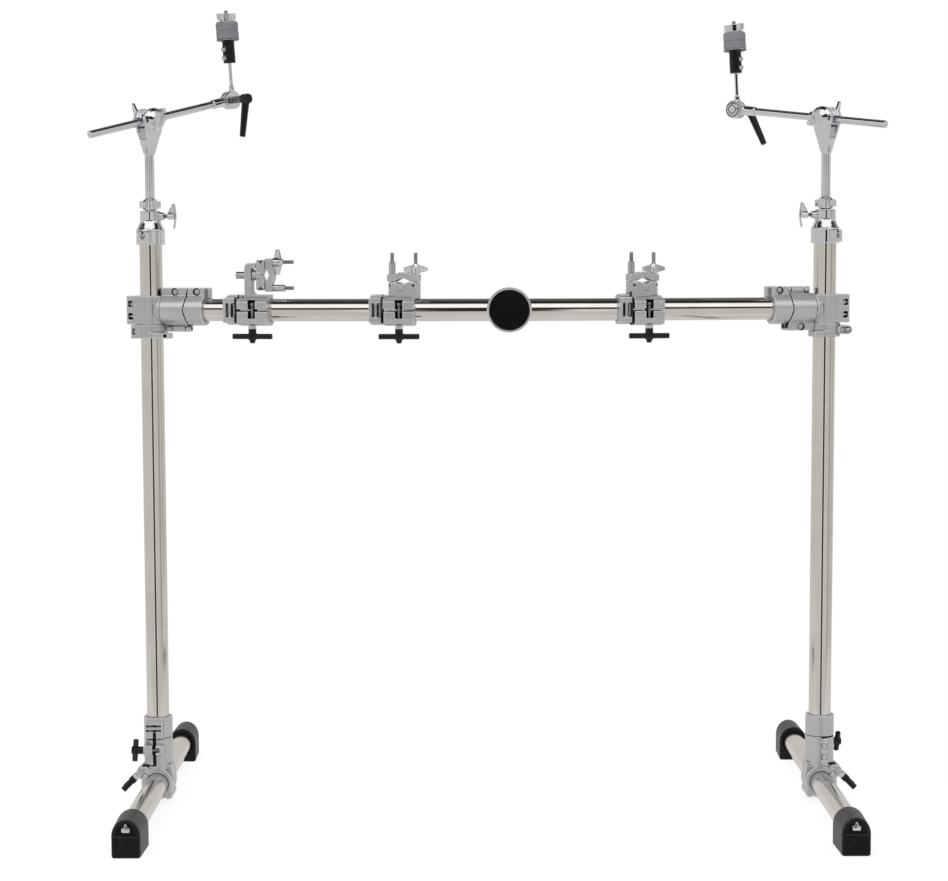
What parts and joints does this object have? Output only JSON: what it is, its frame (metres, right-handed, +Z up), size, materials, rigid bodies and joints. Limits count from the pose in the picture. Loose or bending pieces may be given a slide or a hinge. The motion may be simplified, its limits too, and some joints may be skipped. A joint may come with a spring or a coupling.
{
  "type": "drum rack frame",
  "caption": "Free-standing drum rack: two tube legs on long feet with rubber boots, a curved cross bar with clamps, and a short cymbal boom on top of each leg.",
  "frame": {"origin": "on the floor, midway between the two legs and midway along the feet", "axes": "+Z up, +X to the right as seen from the front, +Y to the back; the cross bar bows towards -Y"},
  "size_m": [1.3282, 0.71, 1.3672],
  "materials": {
    "stainless": "polished",
    "satin_cast": "satin",
    "chrome": "polished",
    "black_plastic": "satin",
    "rubber": "matte",
    "felt": "matte",
    "black_enamel": "gloss"
  },
  "bodies": {
    "left_foot": {"left_foot_tube": "stainless", "left_front_boot": "rubber", "left_back_boot": "rubber"},
    "left_leg": {"left_leg_clamp": "satin_cast"},
    "left_leg_door": {"left_leg_door": "satin_cast"},
    "left_leg_t_bolt": {"left_leg_t_bolt": "black_plastic"},
    "left_foot_jaw": {"left_foot_jaw": "satin_cast"},
    "left_foot_wing_bolt": {"left_foot_wing_bolt": "black_plastic"},
    "left_upright": {"left_upright": "stainless"},
    "left_collar": {"left_top_collar": "chrome"},
    "left_collar_wing_screw": {"left_collar_wing_screw": "chrome"},
    "left_mast": {"left_mast": "chrome"},
    "left_tilter": {"left_tilter": "chrome"},
    "left_boom": {"left_boom_rod": "chrome"},
    "left_lever": {"left_lever": "black_plastic"},
    "left_seat": {"left_seat_post": "chrome", "left_felts": "felt"},
    "left_top_wing_nut": {"left_top_wing_nut": "chrome"},
    "left_lock": {"left_upright_lock": "satin_cast"},
    "left_crossing": {"left_t_clamp": "satin_cast"},
    "left_t_cap": {"left_t_clamp_cap": "satin_cast"},
    "bar": {"curved_bar": "stainless", "bar_badge": "black_enamel"},
    "rack_clamp_1": {"rack_clamp_1_body": "satin_cast"},
    "rack_clamp_1_lower_jaw": {"rack_clamp_1_lower_jaw": "satin_cast"},
    "rack_clamp_1_t_bolt": {"rack_clamp_1_t_bolt": "black_plastic"},
    "rack_clamp_1_v_base": {"rack_clamp_1_v_base": "satin_cast"},
    "rack_clamp_1_v_jaw": {"rack_clamp_1_v_jaw": "satin_cast"},
    "rack_clamp_1_wing_nut": {"rack_clamp_1_wing_nut": "chrome"},
    "rack_clamp_2": {"rack_clamp_2_body": "satin_cast"},
    "rack_clamp_2_lower_jaw": {"rack_clamp_2_lower_jaw": "satin_cast"},
    "rack_clamp_2_t_bolt": {"rack_clamp_2_t_bolt": "black_plastic"},
    "rack_clamp_2_v_jaw": {"rack_clamp_2_v_jaw": "satin_cast"},
    "rack_clamp_2_wing_nut": {"rack_clamp_2_wing_nut": "chrome"},
    "rack_clamp_3": {"rack_clamp_3_body": "satin_cast"},
    "rack_clamp_3_lower_jaw": {"rack_clamp_3_lower_jaw": "satin_cast"},
    "rack_clamp_3_t_bolt": {"rack_clamp_3_t_bolt": "black_plastic"},
    "rack_clamp_3_v_jaw": {"rack_clamp_3_v_jaw": "satin_cast"},
    "rack_clamp_3_wing_nut": {"rack_clamp_3_wing_nut": "chrome"},
    "right_crossing": {"right_t_clamp": "satin_cast"},
    "right_t_cap": {"right_t_clamp_cap": "satin_cast"},
    "right_lock": {"right_upright_lock": "satin_cast"},
    "right_upright": {"right_upright": "stainless"},
    "right_collar": {"right_top_collar": "chrome"},
    "right_collar_wing_screw": {"right_collar_wing_screw": "chrome"},
    "right_mast": {"right_mast": "chrome"},
    "right_tilter": {"right_tilter": "chrome"},
    "right_boom": {"right_boom_rod": "chrome"},
    "right_lever": {"right_lever": "black_plastic"},
    "right_seat": {"right_seat_post": "chrome", "right_felts": "felt"},
    "right_top_wing_nut": {"right_top_wing_nut": "chrome"},
    "right_leg": {"right_leg_clamp": "satin_cast"},
    "right_leg_door": {"right_leg_door": "satin_cast"},
    "right_leg_t_bolt": {"right_leg_t_bolt": "black_plastic"},
    "right_foot_jaw": {"right_foot_jaw": "satin_cast"},
    "right_foot_wing_bolt": {"right_foot_wing_bolt": "black_plastic"},
    "right_foot": {"right_foot_tube": "stainless", "right_front_boot": "rubber", "right_back_boot": "rubber"}
  },
  "joints": [
    {"name": "left_leg_door_hinge", "type": "hinge", "parent": "left_leg", "child": "left_leg_door", "pos_m": [-0.5784, 0.0295, 0.067], "axis": [0, 0, -1], "range_deg": [0, 80]},
    {"name": "left_leg_t_bolt_turn", "type": "hinge", "parent": "left_leg_door", "child": "left_leg_t_bolt", "pos_m": [-0.595, -0.0275, 0.096], "axis": [1, 0, 0], "continuous": true},
    {"name": "left_foot_bolt_swing", "type": "hinge", "parent": "left_leg", "child": "left_foot_wing_bolt", "pos_m": [-0.59563, 0, 0.06046], "axis": [0, 1, 0], "range_deg": [0, 78]},
    {"name": "left_foot_jaw_hinge", "type": "hinge", "parent": "left_leg", "child": "left_foot_jaw", "pos_m": [-0.55391, 0, 0.01591], "axis": [0, -1, 0], "range_deg": [0, 6.24]},
    {"name": "left_leg_slide", "type": "slide", "parent": "left_foot", "child": "left_leg", "axis": [0, 1, 0], "range_m": [-0.25, 0.25]},
    {"name": "left_upright_turn", "type": "hinge", "parent": "left_leg", "child": "left_upright", "pos_m": [-0.573, 0, 0.0673], "axis": [0, 0, 1], "range_deg": [-90, 90]},
    {"name": "left_collar_turn", "type": "hinge", "parent": "left_upright", "child": "left_collar", "pos_m": [-0.573, 0, 0.962], "axis": [0, 0, 1], "continuous": true},
    {"name": "left_collar_screw_turn", "type": "hinge", "parent": "left_collar", "child": "left_collar_wing_screw", "pos_m": [-0.54247, -0.00538, 1.01025], "axis": [0.9848, -0.1736, 0], "continuous": true},
    {"name": "left_mast_slide", "type": "slide", "parent": "left_collar", "child": "left_mast", "axis": [0, 0, 1], "range_m": [0, 0.12]},
    {"name": "left_tilter_tilt", "type": "hinge", "parent": "left_mast", "child": "left_tilter", "pos_m": [-0.573, 0, 1.172], "axis": [0.6691, -0.7431, 0], "range_deg": [-35, 35]},
    {"name": "left_boom_slide", "type": "slide", "parent": "left_tilter", "child": "left_boom", "axis": [0.7214, 0.6495, 0.2402], "range_m": [-0.09, 0.09]},
    {"name": "left_lever_turn", "type": "hinge", "parent": "left_boom", "child": "left_lever", "pos_m": [-0.44719, 0.11328, 1.21389], "axis": [-0.6691, 0.7431, 0], "continuous": true},
    {"name": "left_seat_tilt", "type": "hinge", "parent": "left_boom", "child": "left_seat", "pos_m": [-0.44719, 0.11328, 1.21389], "axis": [-0.6691, 0.7431, 0], "range_deg": [-60, 60]},
    {"name": "left_top_nut_turn", "type": "hinge", "parent": "left_seat", "child": "left_top_wing_nut", "pos_m": [-0.45121, 0.10253, 1.3462], "axis": [-0.057, -0.0513, 0.9971], "continuous": true},
    {"name": "left_lock_slide", "type": "slide", "parent": "left_upright", "child": "left_lock", "axis": [0, 0, 1], "range_m": [-0.55, 0.06]},
    {"name": "left_crossing_turn", "type": "hinge", "parent": "left_lock", "child": "left_crossing", "pos_m": [-0.573, 0, 0.852], "axis": [0, 0, 1], "range_deg": [-35, 35]},
    {"name": "left_t_cap_hinge", "type": "hinge", "parent": "left_crossing", "child": "left_t_cap", "pos_m": [-0.573, 0, 0.8196], "axis": [0.9729, -0.2313, 0], "range_deg": [0, 50]},
    {"name": "left_span_slide", "type": "hinge", "parent": "left_crossing", "child": "bar", "pos_m": [0, 2.31021, 0.852], "axis": [0, 0, 1], "range_deg": [0, 0.9]},
    {"name": "rack_clamp_1_travel", "type": "hinge", "parent": "bar", "child": "rack_clamp_1", "pos_m": [0, 2.31021, 0.852], "axis": [0, 0, 1], "range_deg": [-0.36, 1.81]},
    {"name": "rack_clamp_1_jaw_hinge", "type": "hinge", "parent": "rack_clamp_1", "child": "rack_clamp_1_lower_jaw", "pos_m": [-0.38527, -0.00932, 0.852], "axis": [0.9865, -0.1639, 0], "range_deg": [0, 80]},
    {"name": "rack_clamp_1_t_bolt_turn", "type": "hinge", "parent": "rack_clamp_1_lower_jaw", "child": "rack_clamp_1_t_bolt", "pos_m": [-0.39492, -0.06743, 0.8085], "axis": [0, 0, 1], "continuous": true},
    {"name": "rack_clamp_1_v_base_pivot", "type": "hinge", "parent": "rack_clamp_1", "child": "rack_clamp_1_v_base", "pos_m": [-0.37422, -0.04045, 0.9105], "axis": [0.9865, -0.1639, 0], "range_deg": [-45, 45]},
    {"name": "rack_clamp_1_v_jaw_slide", "type": "slide", "parent": "rack_clamp_1_v_base", "child": "rack_clamp_1_v_jaw", "axis": [0.9865, -0.1639, 0], "range_m": [0, 0.015]},
    {"name": "rack_clamp_1_wing_nut_turn", "type": "hinge", "parent": "rack_clamp_1_v_jaw", "child": "rack_clamp_1_wing_nut", "pos_m": [-0.36159, -0.04255, 0.9322], "axis": [0.9865, -0.1639, 0], "continuous": true},
    {"name": "rack_clamp_2_travel", "type": "hinge", "parent": "bar", "child": "rack_clamp_2", "pos_m": [0, 2.31021, 0.852], "axis": [0, 0, 1], "range_deg": [-1.93, 2.29]},
    {"name": "rack_clamp_2_jaw_hinge", "type": "hinge", "parent": "rack_clamp_2", "child": "rack_clamp_2_lower_jaw", "pos_m": [-0.14522, -0.03661, 0.852], "axis": [0.9981, -0.0618, 0], "range_deg": [0, 80]},
    {"name": "rack_clamp_2_t_bolt_turn", "type": "hinge", "parent": "rack_clamp_2_lower_jaw", "child": "rack_clamp_2_t_bolt", "pos_m": [-0.14885, -0.0954, 0.8085], "axis": [0, 0, 1], "continuous": true},
    {"name": "rack_clamp_2_v_jaw_slide", "type": "slide", "parent": "rack_clamp_2", "child": "rack_clamp_2_v_jaw", "axis": [0, 0, 1], "range_m": [0, 0.015]},
    {"name": "rack_clamp_2_wing_nut_turn", "type": "hinge", "parent": "rack_clamp_2_v_jaw", "child": "rack_clamp_2_wing_nut", "pos_m": [-0.12112, -0.07449, 0.9116], "axis": [0, 0, 1], "continuous": true},
    {"name": "rack_clamp_3_travel", "type": "hinge", "parent": "bar", "child": "rack_clamp_3", "pos_m": [0, 2.31021, 0.852], "axis": [0, 0, 1], "range_deg": [-3.01, 3.61]},
    {"name": "rack_clamp_3_jaw_hinge", "type": "hinge", "parent": "rack_clamp_3", "child": "rack_clamp_3_lower_jaw", "pos_m": [0.26079, -0.02659, 0.852], "axis": [0.9938, 0.1109, 0], "range_deg": [0, 80]},
    {"name": "rack_clamp_3_t_bolt_turn", "type": "hinge", "parent": "rack_clamp_3_lower_jaw", "child": "rack_clamp_3_t_bolt", "pos_m": [0.26733, -0.08513, 0.8085], "axis": [0, 0, 1], "continuous": true},
    {"name": "rack_clamp_3_v_jaw_slide", "type": "slide", "parent": "rack_clamp_3", "child": "rack_clamp_3_v_jaw", "axis": [0, 0, 1], "range_m": [0, 0.015]},
    {"name": "rack_clamp_3_wing_nut_turn", "type": "hinge", "parent": "rack_clamp_3_v_jaw", "child": "rack_clamp_3_wing_nut", "pos_m": [0.27748, -0.04634, 0.9116], "axis": [0, 0, 1], "continuous": true},
    {"name": "right_span_slide", "type": "hinge", "parent": "bar", "child": "right_crossing", "pos_m": [0, 2.31021, 0.852], "axis": [0, 0, 1], "range_deg": [0, 0.9]},
    {"name": "right_t_cap_hinge", "type": "hinge", "parent": "right_crossing", "child": "right_t_cap", "pos_m": [0.573, 0, 0.8844], "axis": [-0.9729, -0.2313, 0], "range_deg": [0, 100]},
    {"name": "right_crossing_turn", "type": "hinge", "parent": "right_crossing", "child": "right_lock", "pos_m": [0.573, 0, 0.852], "axis": [0, 0, 1], "range_deg": [-35, 35]},
    {"name": "right_upright_slide", "type": "slide", "parent": "right_lock", "child": "right_upright", "axis": [0, 0, 1], "range_m": [-0.06, 0.55]},
    {"name": "right_collar_turn", "type": "hinge", "parent": "right_upright", "child": "right_collar", "pos_m": [0.573, 0, 0.962], "axis": [0, 0, 1], "continuous": true},
    {"name": "right_collar_screw_turn", "type": "hinge", "parent": "right_collar", "child": "right_collar_wing_screw", "pos_m": [0.5423, -0.00431, 1.01025], "axis": [-0.9903, -0.1392, 0], "continuous": true},
    {"name": "right_mast_slide", "type": "slide", "parent": "right_collar", "child": "right_mast", "axis": [0, 0, 1], "range_m": [0, 0.12]},
    {"name": "right_tilter_tilt", "type": "hinge", "parent": "right_mast", "child": "right_tilter", "pos_m": [0.573, 0, 1.172], "axis": [0.6361, 0.7716, 0], "range_deg": [-20, 35]},
    {"name": "right_boom_slide", "type": "slide", "parent": "right_tilter", "child": "right_boom", "axis": [-0.765, 0.6306, 0.1305], "range_m": [-0.09, 0.09]},
    {"name": "right_lever_turn", "type": "hinge", "parent": "right_boom", "child": "right_lever", "pos_m": [0.43432, 0.11432, 1.19566], "axis": [-0.6361, -0.7716, 0], "continuous": true},
    {"name": "right_seat_tilt", "type": "hinge", "parent": "right_boom", "child": "right_seat", "pos_m": [0.43432, 0.11432, 1.19566], "axis": [-0.6361, -0.7716, 0], "range_deg": [-60, 60]},
    {"name": "right_top_nut_turn", "type": "hinge", "parent": "right_seat", "child": "right_top_wing_nut", "pos_m": [0.43144, 0.12356, 1.32811], "axis": [-0.0471, 0.0388, 0.9981], "continuous": true},
    {"name": "right_leg_door_hinge", "type": "hinge", "parent": "right_leg", "child": "right_leg_door", "pos_m": [0.5784, -0.0295, 0.067], "axis": [0, 0, -1], "range_deg": [0, 80]},
    {"name": "right_leg_t_bolt_turn", "type": "hinge", "parent": "right_leg_door", "child": "right_leg_t_bolt", "pos_m": [0.595, 0.0275, 0.096], "axis": [-1, 0, 0], "continuous": true},
    {"name": "right_foot_bolt_swing", "type": "hinge", "parent": "right_leg", "child": "right_foot_wing_bolt", "pos_m": [0.59563, 0, 0.06046], "axis": [0, -1, 0], "range_deg": [0, 78]},
    {"name": "right_foot_jaw_hinge", "type": "hinge", "parent": "right_leg", "child": "right_foot_jaw", "pos_m": [0.55391, 0, 0.01591], "axis": [0, 1, 0], "range_deg": [0, 6.24]},
    {"name": "right_leg_turn", "type": "hinge", "parent": "right_upright", "child": "right_leg", "pos_m": [0.573, 0, 0.068], "axis": [0, 0, 1], "range_deg": [-90, 90]},
    {"name": "right_leg_slide", "type": "slide", "parent": "right_leg", "child": "right_foot", "axis": [0, 1, 0], "range_m": [-0.25, 0.25]}
  ],
  "couplings": [
    {"joint": "left_foot_jaw_hinge", "follows": "left_foot_bolt_swing", "ratio": 0.08},
    {"joint": "right_upright_slide", "follows": "left_lock_slide", "ratio": -1},
    {"joint": "right_foot_jaw_hinge", "follows": "right_foot_bolt_swing", "ratio": 0.08}
  ]
}
